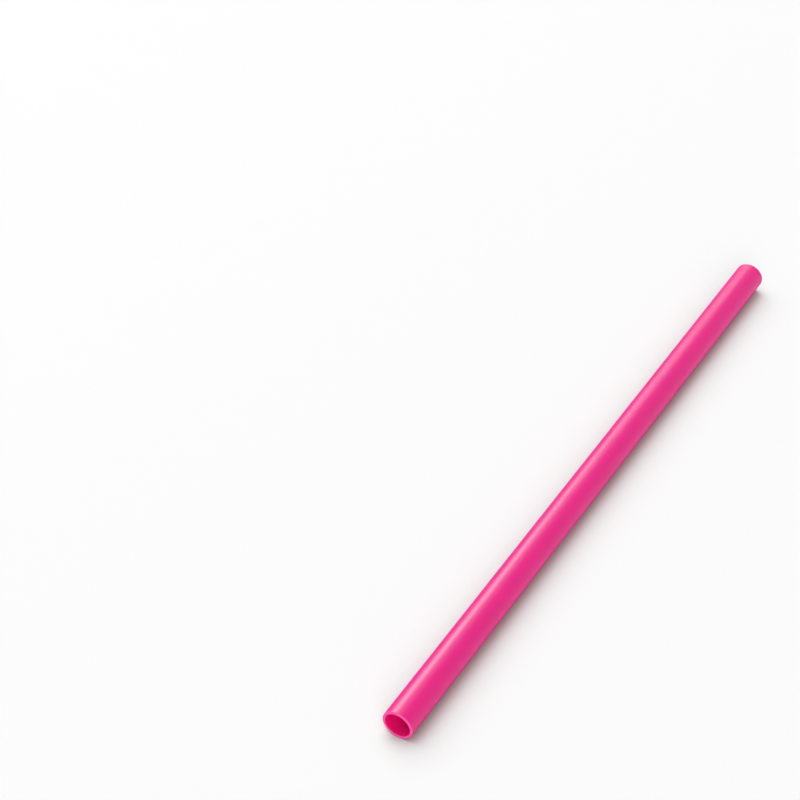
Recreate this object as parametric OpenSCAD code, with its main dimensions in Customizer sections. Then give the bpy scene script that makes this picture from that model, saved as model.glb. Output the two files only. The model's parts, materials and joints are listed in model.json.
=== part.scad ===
// Drinking straw of extruded cellulose: one straight, smooth, round tube, cut square at both ends.
// It lies on its side along X, centred on the origin, and touches the surface z = 0 below it.

/* [Tube] */
// Length of the straw, from cut end to cut end
straw_length = 197; // [120:1:260]
// Outer diameter of the tube
outer_diameter = 8; // [5:0.1:14]
// Thickness of the extruded wall
wall = 0.7; // [0.3:0.05:1.4]

/* [Cut ends] */
// Radius that the blade leaves on the outer edge of each end
outer_edge_radius = 0.3; // [0.05:0.01:0.6]
// Radius that the blade leaves on the bore's edge at each end
inner_edge_radius = 0.15; // [0.05:0.01:0.6]

/* [Colour] */
// Colour of the dyed cellulose, the same all through the wall
dye = "#ee3a8c"; // ["#ee3a8c":pink, "#2f9e44":green, "#f59f00":amber]

/* [Hidden] */

outer_radius = outer_diameter / 2;
bore_radius = outer_radius - wall;

// The two edge radii share the wall, and a flat ring of the cut face stays between them.
cut_face_share = 0.2;
edge_room = wall * (1 - cut_face_share);
edge_scale = min(1, edge_room / (outer_edge_radius + inner_edge_radius));
outer_edge = outer_edge_radius * edge_scale;
inner_edge = inner_edge_radius * edge_scale;

round_facets = 96;

// What a quarter round of radius r takes off a corner at the origin, for a wall that lies towards +X and +Y
module corner_waste(r) {
    difference() {
        square(r);
        translate([r, r])
            circle(r, $fn = round_facets);
    }
}

// Half of the tube's lengthwise section: X runs out from the axis, Y along the straw from its near end
module wall_section() {
    difference() {
        translate([bore_radius, 0])
            square([wall, straw_length]);

        for (far_end = [0, 1])
            translate([0, far_end * straw_length])
                mirror([0, far_end]) {
                    translate([bore_radius, 0])
                        corner_waste(inner_edge);
                    translate([outer_radius, 0])
                        mirror([1, 0])
                            corner_waste(outer_edge);
                }
    }
}

// The whole straw: its section turned once round the axis, laid along X with its lowest line on z = 0
module straw_tube() {
    color(dye)
        translate([-straw_length / 2, 0, outer_radius])
            rotate([0, 90, 0])
                rotate_extrude($fn = round_facets)
                    wall_section();
}

straw_tube();
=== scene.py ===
# A drinking straw of dyed cellulose: one extruded tube with softened cut ends, on a plain white floor.

import json
from math import pi, radians

import bmesh
import bpy
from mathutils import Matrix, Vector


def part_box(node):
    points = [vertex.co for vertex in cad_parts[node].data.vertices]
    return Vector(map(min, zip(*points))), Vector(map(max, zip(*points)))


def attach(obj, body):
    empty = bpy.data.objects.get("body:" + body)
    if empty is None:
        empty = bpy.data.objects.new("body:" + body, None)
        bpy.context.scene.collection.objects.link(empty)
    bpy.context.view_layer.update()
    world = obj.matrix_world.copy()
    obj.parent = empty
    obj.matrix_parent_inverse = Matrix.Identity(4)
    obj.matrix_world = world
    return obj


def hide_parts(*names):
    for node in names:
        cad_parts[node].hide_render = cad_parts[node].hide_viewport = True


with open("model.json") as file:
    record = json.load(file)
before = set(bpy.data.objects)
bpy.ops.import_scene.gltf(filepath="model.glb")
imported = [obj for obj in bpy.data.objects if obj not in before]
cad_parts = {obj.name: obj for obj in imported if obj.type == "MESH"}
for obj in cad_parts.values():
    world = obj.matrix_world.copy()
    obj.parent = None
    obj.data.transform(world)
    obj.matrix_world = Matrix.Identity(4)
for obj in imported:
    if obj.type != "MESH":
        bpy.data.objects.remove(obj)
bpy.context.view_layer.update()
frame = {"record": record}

bl_info = {
    "name": "Cellulose Drinking Straw",
    "version": (1, 0, 0),
    "blender": (4, 5, 0),
    "location": "View3D > Sidebar > Straw",
    "description": "Models an extruded drinking straw and lays it on a plain floor in soft light",
    "category": "Add Mesh",
}

MM = 0.001
NODE = "straw_tube"


def mount_radius(name):
    """A round mount's radius in metres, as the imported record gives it."""
    mount = next(m for m in frame["record"]["mounts"] if m["name"] == name)
    return mount["dims"]["r_mm"] * MM


OUTER_RADIUS = mount_radius("outside")
BORE_RADIUS = mount_radius("bore")
NEAR_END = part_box(NODE)[0].x
FAR_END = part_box(NODE)[1].x

# how squarely a face looks along X to be an end face, or part of the cut
END_FACING = 0.9
CUT_FACING = 0.2

# how close a point is to an end or a rim to be on it, and to another point to be merged with it
END_TOLERANCE = 0.001 * MM
RIM_TOLERANCE = 0.01 * MM
MERGE_DISTANCE = 0.0001 * MM

# steps of the blade's rounding
OUTER_EDGE_SEGMENTS = 8
INNER_EDGE_SEGMENTS = 6

# how deep light goes into the wall, and how high the lines stand that the die and the blade leave
LIGHT_DEPTH = 0.8 * MM
DIE_LINES = 0.004 * MM
BLADE_LINES = 0.012 * MM

# how far the dye and the roughness vary over the surface
PALEST_DYE = 0.93
STRONGEST_DYE = 1.05
ROUGHNESS_SPREAD = 0.05

# the floor's width, how far the straw's painted shade reaches on the floor, and how open the floor is at the
# painted contact shadow and at the painted tint beside it
FLOOR_SIZE = 24.0
PAINTED_SHADE_REACH = 20 * OUTER_RADIUS
PAINTED_SHADOW_OPEN = 0.3
PAINTED_TINT_OPEN = 0.72


class StrawTubeSettings(bpy.types.PropertyGroup):
    """Sizes of the tube."""

    length: bpy.props.FloatProperty(
        name="Length",
        description="Length from cut end to cut end",
        default=FAR_END - NEAR_END,
        min=0.05,
        precision=4,
        subtype="DISTANCE",
        unit="LENGTH",
    )
    outer_radius: bpy.props.FloatProperty(
        name="Outer radius",
        description="Radius of the tube outside",
        default=OUTER_RADIUS,
        min=0.0015,
        precision=5,
        subtype="DISTANCE",
        unit="LENGTH",
    )
    bore_radius: bpy.props.FloatProperty(
        name="Bore radius",
        description="Radius of the round bore, which runs from end to end",
        default=BORE_RADIUS,
        min=0.001,
        precision=5,
        subtype="DISTANCE",
        unit="LENGTH",
    )
    outer_edge: bpy.props.FloatProperty(
        name="Outer edge radius",
        description="Radius that the blade leaves on the outer edge of each end",
        default=0.3 * MM,
        min=0.00001,
        precision=5,
        subtype="DISTANCE",
        unit="LENGTH",
    )
    inner_edge: bpy.props.FloatProperty(
        name="Inner edge radius",
        description="Radius that the blade leaves on the bore's edge at each end",
        default=0.15 * MM,
        min=0.00001,
        precision=5,
        subtype="DISTANCE",
        unit="LENGTH",
    )
    sides: bpy.props.IntProperty(
        name="Sides",
        description="Flat strips that make up the round wall",
        default=160,
        min=24,
        max=512,
    )
    rings: bpy.props.IntProperty(
        name="Rings",
        description="Rings that the wall is divided into along the straw",
        default=48,
        min=2,
        max=200,
    )


class StrawFinishSettings(bpy.types.PropertyGroup):
    """Colour and surface of the dyed cellulose."""

    dye: bpy.props.FloatVectorProperty(
        name="Dye",
        description="Colour of the wall outside",
        default=(0.85, 0.006, 0.25),
        min=0.0,
        max=1.0,
        size=3,
        subtype="COLOR",
    )
    # the dye with its red raised as a painted glow, which stands in for light that comes through the wall
    bore_colour_painted_glow: bpy.props.FloatVectorProperty(
        name="Bore colour",
        description="Colour of the wall inside, redder because part of its light has come through the wall",
        default=(1.0, 0.006, 0.25),
        min=0.0,
        max=1.0,
        size=3,
        subtype="COLOR",
    )
    # the cut faces' own paler colour, raised further as painted light where the cut end catches the light
    cut_colour_painted_light: bpy.props.FloatVectorProperty(
        name="Cut colour",
        description="Colour of the cut faces, which scatter more light than the skin and look paler",
        default=(1.0, 0.09, 0.4),
        min=0.0,
        max=1.0,
        size=3,
        subtype="COLOR",
    )
    skin_roughness: bpy.props.FloatProperty(
        name="Skin roughness",
        description="Roughness of the skin that the die leaves on the wall",
        default=0.34,
        min=0.0,
        max=1.0,
        subtype="FACTOR",
    )
    bore_roughness: bpy.props.FloatProperty(
        name="Bore roughness",
        description="Roughness of the wall inside, which no die smooths",
        default=0.5,
        min=0.0,
        max=1.0,
        subtype="FACTOR",
    )
    cut_roughness: bpy.props.FloatProperty(
        name="Cut roughness",
        description="Roughness of the cut faces, which the blade leaves duller than the skin",
        default=0.48,
        min=0.0,
        max=1.0,
        subtype="FACTOR",
    )


class StrawStageSettings(bpy.types.PropertyGroup):
    """Floor, light and camera."""

    floor_colour: bpy.props.FloatVectorProperty(
        name="Floor",
        description="Colour of the plain floor",
        default=(0.95, 0.95, 0.95),
        min=0.0,
        max=1.0,
        size=3,
        subtype="COLOR",
    )
    # painted tint: the floor a few millimetres off is painted less red, to take out the straw's pink bounce
    # light
    beside_painted_tint: bpy.props.FloatVectorProperty(
        name="Floor beside",
        description="Colour of the floor a few millimetres off, less red to balance the straw's glow",
        default=(0.89, 1.0, 0.96),
        min=0.0,
        max=1.0,
        size=3,
        subtype="COLOR",
    )
    # painted contact shadow: the floor colour where the straw occludes it most
    contact_painted_shadow: bpy.props.FloatVectorProperty(
        name="Contact",
        description="Colour of the floor right beside the straw, which is darker",
        default=(0.45, 0.42, 0.37),
        min=0.0,
        max=1.0,
        size=3,
        subtype="COLOR",
    )
    # painted reflection: the floor as gloss alone sees it, deep pink, so that the straw's margins reflect deep
    floor_painted_reflection: bpy.props.FloatVectorProperty(
        name="Left floor in gloss",
        description="Colour in which gloss shows the floor on the left of the straw and under it",
        default=(0.9, 0.15, 0.55),
        min=0.0,
        max=1.0,
        size=3,
        subtype="COLOR",
    )
    fill: bpy.props.FloatProperty(
        name="Fill light",
        description="Strength of the even light that matt surfaces get from all round",
        default=0.41,
        min=0.0,
    )
    softbox_power: bpy.props.FloatProperty(
        name="Softbox power",
        description="Power of the soft lamp on the far left, seen in gloss alone, as the highlight",
        default=530.0,
        min=0.0,
        subtype="POWER",
        unit="POWER",
    )
    softbox_size: bpy.props.FloatVectorProperty(
        name="Softbox size",
        description="Width and height of the soft lamp",
        default=(4.8, 3.6),
        min=0.05,
        size=2,
        unit="LENGTH",
    )
    softbox_place: bpy.props.FloatVectorProperty(
        name="Softbox place",
        description="Where the middle of the soft lamp stands",
        default=(3.4, 5.75, 4.6),
        size=3,
        subtype="TRANSLATION",
        unit="LENGTH",
    )
    back_power: bpy.props.FloatProperty(
        name="Back softbox power",
        description="Power of the soft lamp beyond the far end, seen in gloss alone, in the highlight there",
        default=65.0,
        min=0.0,
        subtype="POWER",
        unit="POWER",
    )
    back_size: bpy.props.FloatVectorProperty(
        name="Back softbox size",
        description="Width and height of the soft lamp beyond the far end",
        default=(3.0, 2.6),
        min=0.05,
        size=2,
        unit="LENGTH",
    )
    back_place: bpy.props.FloatVectorProperty(
        name="Back softbox place",
        description="Where the middle of the soft lamp beyond the far end stands",
        default=(6.5, 2.4, 3.9),
        size=3,
        subtype="TRANSLATION",
        unit="LENGTH",
    )
    overhead_power: bpy.props.FloatProperty(
        name="Overhead power",
        description="Power of the wide lamp at the upper left, which lays a soft shadow to the right",
        default=118.0,
        min=0.0,
        subtype="POWER",
        unit="POWER",
    )
    overhead_size: bpy.props.FloatVectorProperty(
        name="Overhead size",
        description="Width and height of the wide lamp",
        default=(4.6, 4.6),
        min=0.05,
        size=2,
        unit="LENGTH",
    )
    overhead_place: bpy.props.FloatVectorProperty(
        name="Overhead place",
        description="Where the middle of the wide lamp hangs",
        default=(0.9, 1.9, 3.4),
        size=3,
        subtype="TRANSLATION",
        unit="LENGTH",
    )
    front_power: bpy.props.FloatProperty(
        name="Front power",
        description="Power of the soft lamp on the near right, which lights the cut end and the bore",
        default=170.0,
        min=0.0,
        subtype="POWER",
        unit="POWER",
    )
    front_size: bpy.props.FloatVectorProperty(
        name="Front size",
        description="Width and height of the soft lamp on the near right",
        default=(4.5, 4.5),
        min=0.05,
        size=2,
        unit="LENGTH",
    )
    front_place: bpy.props.FloatVectorProperty(
        name="Front place",
        description="Where the middle of the soft lamp on the near right stands",
        default=(-5.1, -2.9, 3.3),
        size=3,
        subtype="TRANSLATION",
        unit="LENGTH",
    )
    camera_place: bpy.props.FloatVectorProperty(
        name="Camera place",
        description="Where the camera stands, beyond the near end and to the right of the straw",
        default=(-0.35294, -0.15474, 0.35728),
        size=3,
        subtype="TRANSLATION",
        unit="LENGTH",
    )
    camera_tilt: bpy.props.FloatProperty(
        name="Camera tilt",
        description="Angle of the camera up from looking straight down",
        default=radians(49.319),
        subtype="ANGLE",
        unit="ROTATION",
    )
    camera_turn: bpy.props.FloatProperty(
        name="Camera turn",
        description="Angle of the camera round the vertical, from looking along +Y",
        default=radians(-58.816),
        subtype="ANGLE",
        unit="ROTATION",
    )
    lens: bpy.props.FloatProperty(
        name="Lens",
        description="Focal length in millimetres, on a sensor 36 mm wide",
        default=90.593,
        min=1.0,
        subtype="DISTANCE_CAMERA",
    )


def deselect_all():
    """Leaves nothing selected and no object active, so that the next operator acts on its own piece."""
    if bpy.context.mode != "OBJECT":
        bpy.ops.object.mode_set(mode="OBJECT")
    bpy.ops.object.select_all(action="DESELECT")
    bpy.context.view_layer.objects.active = None


def select_in(obj, faces=None, edges=None):
    """In edit mode, selects only the faces or edges for which the test is true, and returns how many."""
    bpy.ops.mesh.select_all(action="DESELECT")
    bpy.ops.mesh.select_mode(type="FACE" if faces else "EDGE")
    mesh = bmesh.from_edit_mesh(obj.data)
    found = [x for x in (mesh.faces if faces else mesh.edges) if (faces or edges)(x)]
    for x in found:
        x.select_set(True)
    bmesh.update_edit_mesh(obj.data)
    return len(found)


def expect(count, wanted, what):
    """Stops the script where an operator's selection isn't what the shape should hold."""
    if count != wanted:
        raise RuntimeError(f"{what}: {count} found, {wanted} expected")


def axis_distance(point, height):
    """How far a point is from the tube's axis, which runs along X at this height."""
    return (point.y**2 + (point.z - height) ** 2) ** 0.5


def model_tube(size):
    """The extruded tube, laid along X on the floor, with its bore and the rounded edges of both cuts."""
    half = size.length / 2
    middle = (NEAR_END + FAR_END) / 2
    height = size.outer_radius
    deselect_all()
    bpy.ops.mesh.primitive_cylinder_add(
        vertices=size.sides,
        radius=size.outer_radius,
        depth=size.length,
        end_fill_type="NGON",
        location=(middle, 0, height),
        rotation=(0, pi / 2, 0),
    )
    tube = bpy.context.object
    tube.name = "extruded_tube"
    bpy.ops.object.transform_apply(location=True, rotation=True, scale=True)

    def at_end(vertex):
        return abs(abs(vertex.co.x - middle) - half) < END_TOLERANCE

    def runs_along(edge):
        a, b = edge.verts
        return abs(a.co.x - b.co.x) > half

    def rim_at(edge, radius):
        return not runs_along(edge) and all(
            at_end(v) and abs(axis_distance(v.co, height) - radius) < RIM_TOLERANCE
            for v in edge.verts
        )

    # the bore goes through between the inset middles of the two end faces
    bpy.ops.object.mode_set(mode="EDIT")
    expect(select_in(tube, faces=lambda f: abs(f.normal.x) > END_FACING), 2, "end faces")
    bpy.ops.mesh.inset(thickness=size.outer_radius - size.bore_radius)
    expect(select_in(tube, faces=lambda f: len(f.verts) == size.sides), 2, "bore faces")
    bpy.ops.mesh.bridge_edge_loops()

    # the blade's rounding, outside and at the bore
    for radius, rounding, segments in (
        (size.outer_radius, size.outer_edge, OUTER_EDGE_SEGMENTS),
        (size.bore_radius, size.inner_edge, INNER_EDGE_SEGMENTS),
    ):
        expect(select_in(tube, edges=lambda e, r=radius: rim_at(e, r)), 2 * size.sides, "rim edges")
        bpy.ops.mesh.bevel(offset=rounding, segments=segments, profile=0.5, affect="EDGES")

    # rings along the wall, outside and in the bore
    expect(select_in(tube, edges=runs_along), 2 * size.sides, "lengthwise edges")
    bpy.ops.mesh.subdivide(number_cuts=size.rings - 1)

    bpy.ops.mesh.select_all(action="SELECT")
    bpy.ops.mesh.remove_doubles(threshold=MERGE_DISTANCE)
    bpy.ops.mesh.normals_make_consistent(inside=False)
    bpy.ops.object.mode_set(mode="OBJECT")
    bpy.ops.object.shade_smooth()
    flats = tube.modifiers.new("Flat faces stay flat", "WEIGHTED_NORMAL")
    flats.mode = "FACE_AREA"
    bpy.ops.object.modifier_apply(modifier=flats.name)
    return tube


def add_node(tree, kind, place, **values):
    """A shader node at this place in the tree, with these settings."""
    node = tree.nodes.new(kind)
    node.location = place
    for name, value in values.items():
        setattr(node, name, value)
    return node


def extrusion_grain():
    """Node group for what extrusion leaves: lines drawn along X by the die, and a cloudy spread of the dye."""
    group = bpy.data.node_groups.new("extrusion_grain", "ShaderNodeTree")
    face = group.interface
    for name, value in (("Line Density", 1100.0), ("Line Stretch", 0.012), ("Cloud Density", 140.0)):
        socket = face.new_socket(name, in_out="INPUT", socket_type="NodeSocketFloat")
        socket.default_value = value
    for name in ("Lines", "Cloud"):
        face.new_socket(name, in_out="OUTPUT", socket_type="NodeSocketFloat")

    start = add_node(group, "NodeGroupInput", (-900, 0))
    end = add_node(group, "NodeGroupOutput", (500, 0))
    place = add_node(group, "ShaderNodeTexCoord", (-900, 300))
    along = add_node(group, "ShaderNodeCombineXYZ", (-680, 120))
    drawn = add_node(group, "ShaderNodeVectorMath", (-460, 240), operation="MULTIPLY")
    lines = add_node(group, "ShaderNodeTexNoise", (-220, 240))
    cloud = add_node(group, "ShaderNodeTexNoise", (-220, -120))
    lines.inputs["Detail"].default_value = 3.0
    lines.inputs["Roughness"].default_value = 0.6
    cloud.inputs["Detail"].default_value = 4.0
    cloud.inputs["Roughness"].default_value = 0.55

    link = group.links.new
    link(start.outputs["Line Stretch"], along.inputs["X"])
    along.inputs["Y"].default_value = 1.0
    along.inputs["Z"].default_value = 1.0
    link(place.outputs["Object"], drawn.inputs[0])
    link(along.outputs["Vector"], drawn.inputs[1])
    link(drawn.outputs["Vector"], lines.inputs["Vector"])
    link(start.outputs["Line Density"], lines.inputs["Scale"])
    link(place.outputs["Object"], cloud.inputs["Vector"])
    link(start.outputs["Cloud Density"], cloud.inputs["Scale"])
    link(lines.outputs["Fac"], end.inputs["Lines"])
    link(cloud.outputs["Fac"], end.inputs["Cloud"])
    return group


def cellulose(name, grain, dye, roughness, line_height, share):
    """Dyed cellulose: satin gloss over a colour, of whose light this share goes into the wall."""
    material = bpy.data.materials.new(name)
    material.use_nodes = True
    tree = material.node_tree
    tree.nodes.clear()
    link = tree.links.new

    out = add_node(tree, "ShaderNodeOutputMaterial", (500, 0))
    skin = add_node(tree, "ShaderNodeBsdfPrincipled", (180, 0))
    skin.inputs["IOR"].default_value = 1.47
    skin.inputs["Specular IOR Level"].default_value = 0.38
    skin.inputs["Subsurface Weight"].default_value = share
    skin.inputs["Subsurface Radius"].default_value = (1.0, 0.12, 0.35)
    skin.inputs["Subsurface Scale"].default_value = LIGHT_DEPTH
    link(skin.outputs["BSDF"], out.inputs["Surface"])

    effect = add_node(tree, "ShaderNodeGroup", (-700, 0), node_tree=grain)
    colour = add_node(tree, "ShaderNodeMix", (-300, 240), data_type="RGBA")
    colour.inputs["A"].default_value = (*[c * PALEST_DYE for c in dye], 1)
    colour.inputs["B"].default_value = (*[min(c * STRONGEST_DYE, 1) for c in dye], 1)
    link(effect.outputs["Cloud"], colour.inputs["Factor"])
    link(colour.outputs["Result"], skin.inputs["Base Color"])

    rough = add_node(tree, "ShaderNodeMapRange", (-300, 0))
    rough.inputs["To Min"].default_value = roughness - ROUGHNESS_SPREAD
    rough.inputs["To Max"].default_value = roughness + ROUGHNESS_SPREAD
    link(effect.outputs["Lines"], rough.inputs["Value"])
    link(rough.outputs["Result"], skin.inputs["Roughness"])

    bump = add_node(tree, "ShaderNodeBump", (-100, -260))
    bump.inputs["Distance"].default_value = line_height
    link(effect.outputs["Lines"], bump.inputs["Height"])
    link(bump.outputs["Normal"], skin.inputs["Normal"])
    return material


def finish_tube(tube, size, finish):
    """Gives the wall its satin skin, both cut ends a paler, duller finish whose paleness is partly painted
    light, and the bore a deeper, redder colour that is partly a painted glow of light through the wall.
    """
    grain = extrusion_grain()

    # the last value is the share of the light that goes into the wall
    for name, colour, roughness, line_height, share in (
        ("dyed_cellulose_skin", finish.dye, finish.skin_roughness, DIE_LINES, 0.6),
        # the cut faces' paler colour is partly painted light, where the cut end catches the light
        ("dyed_cellulose_cut_painted_light", finish.cut_colour_painted_light, finish.cut_roughness, BLADE_LINES, 0.25),
        # the bore's redder colour is partly a painted glow of the light that comes through the wall
        ("dyed_cellulose_bore_painted_glow", finish.bore_colour_painted_glow, finish.bore_roughness, DIE_LINES, 1.0),
    ):
        tube.data.materials.append(cellulose(name, grain, colour, roughness, line_height, share))

    # the skin is the first material, which every face has from the start
    cut_slot = 1
    bore_slot = 2
    wall_middle = (size.outer_radius + size.bore_radius) / 2
    for face in tube.data.polygons:
        if abs(face.normal.x) > CUT_FACING:
            face.material_index = cut_slot
        elif axis_distance(face.center, size.outer_radius) < wall_middle:
            face.material_index = bore_slot


def model_floor(stage):
    """A wide plain floor, darker right beside the straw as a painted contact shadow, less red a little further
    off as a painted tint against the straw's bounce light, and deeper in colour where gloss shows its left, as
    a painted reflection.
    """
    deselect_all()
    bpy.ops.mesh.primitive_plane_add(size=FLOOR_SIZE, location=(0, 0, 0))
    floor = bpy.context.object
    floor.name = "floor"
    material = bpy.data.materials.new("plain_floor")
    material.use_nodes = True
    tree = material.node_tree
    shader = tree.nodes["Principled BSDF"]
    shader.inputs["Roughness"].default_value = 0.9
    shader.inputs["Specular IOR Level"].default_value = 0.1

    # painted shade: the floor is painted darker right beside the straw as a contact shadow, and a little less
    # red near it as a painted tint against the straw's pink bounce light
    painted_shade_ao = add_node(tree, "ShaderNodeAmbientOcclusion", (-760, 200))
    painted_shade_ao.samples = 8
    painted_shade_ao.inputs["Distance"].default_value = PAINTED_SHADE_REACH
    painted_shade_ramp = add_node(tree, "ShaderNodeValToRGB", (-560, 200))
    stops = painted_shade_ramp.color_ramp.elements
    stops[0].position = PAINTED_SHADOW_OPEN
    stops[0].color = (*stage.contact_painted_shadow, 1)
    stops[1].position = 1.0
    stops[1].color = (*stage.floor_colour, 1)
    stops.new(PAINTED_TINT_OPEN).color = (*stage.beside_painted_tint, 1)

    # painted reflection: gloss shows the floor in a deep pink, on the left of the straw and under it, so that
    # the straw's margins reflect it deep
    ray = add_node(tree, "ShaderNodeLightPath", (-760, 1000))
    place = add_node(tree, "ShaderNodeTexCoord", (-1140, 560))
    across = add_node(tree, "ShaderNodeSeparateXYZ", (-960, 560))
    painted_reflection_side = add_node(tree, "ShaderNodeMapRange", (-760, 560))
    painted_reflection_side.inputs["From Min"].default_value = -2 * OUTER_RADIUS
    painted_reflection_side.inputs["From Max"].default_value = -OUTER_RADIUS
    painted_reflection_share = add_node(tree, "ShaderNodeMath", (-500, 560), operation="MULTIPLY")
    colour = add_node(tree, "ShaderNodeMix", (-220, 200), data_type="RGBA")
    colour.inputs["B"].default_value = (*stage.floor_painted_reflection, 1)

    link = tree.links.new
    link(painted_shade_ao.outputs["AO"], painted_shade_ramp.inputs["Fac"])
    link(place.outputs["Object"], across.inputs["Vector"])
    link(across.outputs["Y"], painted_reflection_side.inputs["Value"])
    link(painted_reflection_side.outputs["Result"], painted_reflection_share.inputs[0])
    link(ray.outputs["Is Glossy Ray"], painted_reflection_share.inputs[1])
    link(painted_reflection_share.outputs["Value"], colour.inputs["Factor"])
    link(painted_shade_ramp.outputs["Color"], colour.inputs["A"])
    link(colour.outputs["Result"], shader.inputs["Base Color"])
    floor.data.materials.append(material)


def add_lamp(name, power, size, place, lights_matt=True):
    """A soft rectangular lamp that faces the straw, and without lights_matt shows in gloss alone."""
    deselect_all()
    bpy.ops.object.light_add(type="AREA", location=place)
    lamp = bpy.context.object
    lamp.name = name
    lamp.data.shape = "RECTANGLE"
    lamp.data.energy = power
    lamp.data.size = size[0]
    lamp.data.size_y = size[1]
    lamp.visible_diffuse = lights_matt
    lamp.rotation_mode = "QUATERNION"
    lamp.rotation_quaternion = lamp.location.to_track_quat("Z", "Y")


def light_stage(stage):
    """A white studio, a wide lamp at the upper left, a soft one at the near right and two softboxes."""
    world = bpy.data.worlds.new("studio")
    bpy.context.scene.world = world
    world.use_nodes = True
    tree = world.node_tree
    tree.nodes.clear()
    link = tree.links.new
    out = add_node(tree, "ShaderNodeOutputWorld", (240, 0))
    sky = add_node(tree, "ShaderNodeBackground", (0, 0))
    sky.inputs["Color"].default_value = (1, 1, 1, 1)
    link(sky.outputs["Background"], out.inputs["Surface"])

    # the camera, gloss and glass see a white studio, and matt surfaces get the fill light
    ray = add_node(tree, "ShaderNodeLightPath", (-900, 0))
    straight = add_node(tree, "ShaderNodeMath", (-640, 0), operation="MAXIMUM")
    seen = add_node(tree, "ShaderNodeMath", (-440, 0), operation="MAXIMUM")
    strength = add_node(tree, "ShaderNodeMix", (-220, 0), data_type="FLOAT")
    link(ray.outputs["Is Camera Ray"], straight.inputs[0])
    link(ray.outputs["Is Glossy Ray"], straight.inputs[1])
    link(straight.outputs["Value"], seen.inputs[0])
    link(ray.outputs["Is Transmission Ray"], seen.inputs[1])
    link(seen.outputs["Value"], strength.inputs["Factor"])
    strength.inputs["A"].default_value = stage.fill
    strength.inputs["B"].default_value = 1.0
    link(strength.outputs["Result"], sky.inputs["Strength"])

    # the softboxes draw the highlight, and light nothing else
    add_lamp("softbox", stage.softbox_power, stage.softbox_size, stage.softbox_place, lights_matt=False)
    add_lamp("back_softbox", stage.back_power, stage.back_size, stage.back_place, lights_matt=False)
    add_lamp("overhead", stage.overhead_power, stage.overhead_size, stage.overhead_place)
    add_lamp("front_fill", stage.front_power, stage.front_size, stage.front_place)


def place_camera(stage):
    """The camera, beyond the near end and looking down along the straw."""
    deselect_all()
    bpy.ops.object.camera_add(
        location=stage.camera_place,
        rotation=(stage.camera_tilt, 0, stage.camera_turn),
    )
    camera = bpy.context.object
    camera.name = "camera"
    camera.data.sensor_width = 36.0
    camera.data.lens = stage.lens
    camera.data.clip_start = 0.01
    bpy.context.scene.camera = camera


class StrawAddTube(bpy.types.Operator):
    """Model the extruded tube with its bore and cut ends, in dyed cellulose"""

    bl_idname = "straw.add_tube"
    bl_label = "Add Tube"
    bl_options = {"REGISTER", "UNDO"}

    def execute(self, context):
        scene = context.scene
        tube = model_tube(scene.straw_tube)
        finish_tube(tube, scene.straw_tube, scene.straw_finish)
        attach(tube, "root")
        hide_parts(NODE)
        return {"FINISHED"}


class StrawAddStage(bpy.types.Operator):
    """Set the plain floor, the soft light and the camera"""

    bl_idname = "straw.add_stage"
    bl_label = "Add Stage"
    bl_options = {"REGISTER", "UNDO"}

    def execute(self, context):
        stage = context.scene.straw_stage
        model_floor(stage)
        light_stage(stage)
        place_camera(stage)
        context.scene.view_settings.view_transform = "Standard"
        return {"FINISHED"}


class StrawPanel(bpy.types.Panel):
    """Settings of the straw and its stage"""

    bl_idname = "VIEW3D_PT_straw"
    bl_label = "Drinking Straw"
    bl_space_type = "VIEW_3D"
    bl_region_type = "UI"
    bl_category = "Straw"

    def draw(self, context):
        scene = context.scene
        for settings, operator in (
            (scene.straw_tube, StrawAddTube),
            (scene.straw_finish, None),
            (scene.straw_stage, StrawAddStage),
        ):
            box = self.layout.box()
            for name in settings.__annotations__:
                box.prop(settings, name)
            if operator:
                box.operator(operator.bl_idname)


CLASSES = (
    StrawTubeSettings,
    StrawFinishSettings,
    StrawStageSettings,
    StrawAddTube,
    StrawAddStage,
    StrawPanel,
)
SETTINGS = {
    "straw_tube": StrawTubeSettings,
    "straw_finish": StrawFinishSettings,
    "straw_stage": StrawStageSettings,
}


def register():
    """Adds the classes, and their settings to the scene."""
    for cls in CLASSES:
        bpy.utils.register_class(cls)
    for name, group in SETTINGS.items():
        setattr(bpy.types.Scene, name, bpy.props.PointerProperty(type=group))


def unregister():
    """Takes the settings and the classes away again."""
    for name in SETTINGS:
        delattr(bpy.types.Scene, name)
    for cls in reversed(CLASSES):
        bpy.utils.unregister_class(cls)


def main():
    """Models the straw and its stage."""
    register()
    bpy.ops.straw.add_tube()
    bpy.ops.straw.add_stage()
    bpy.context.view_layer.update()


if __name__ == "__main__":
    main()
